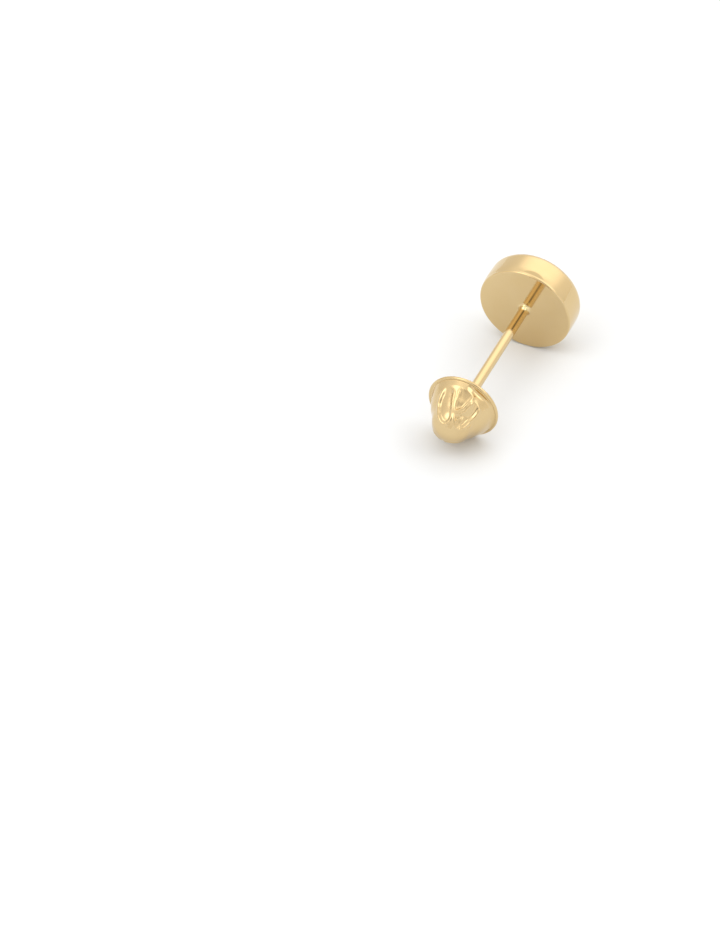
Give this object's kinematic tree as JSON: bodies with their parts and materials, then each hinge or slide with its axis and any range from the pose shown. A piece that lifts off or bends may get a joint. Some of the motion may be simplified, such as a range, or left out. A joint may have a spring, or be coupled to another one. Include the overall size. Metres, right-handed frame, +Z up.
{
  "type": "screw-back button stud earring",
  "caption": "Round gold button stud earring with a flat polished back, a straight post and a fluted screw-back nut, lying on its side.",
  "frame": {"origin": "centre of the bounding box in X and Y, on the surface that the earring lies on", "axes": "+Z up; +X along the post from the nut to the head, which leans up by 5 degrees; the back disc faces -X"},
  "size_m": [0.0164, 0.007, 0.0071],
  "materials": {
    "stud_gold": "high polish yellow gold",
    "nut_gold": "high polish yellow gold"
  },
  "bodies": {
    "stud": {"stud": "stud_gold"},
    "nut": {"nut": "nut_gold"}
  },
  "joints": [
    {"name": "nut_slide", "type": "slide", "parent": "stud", "child": "nut", "axis": [-0.9966, 0, -0.083], "range_m": [0, 0.003]}
  ]
}
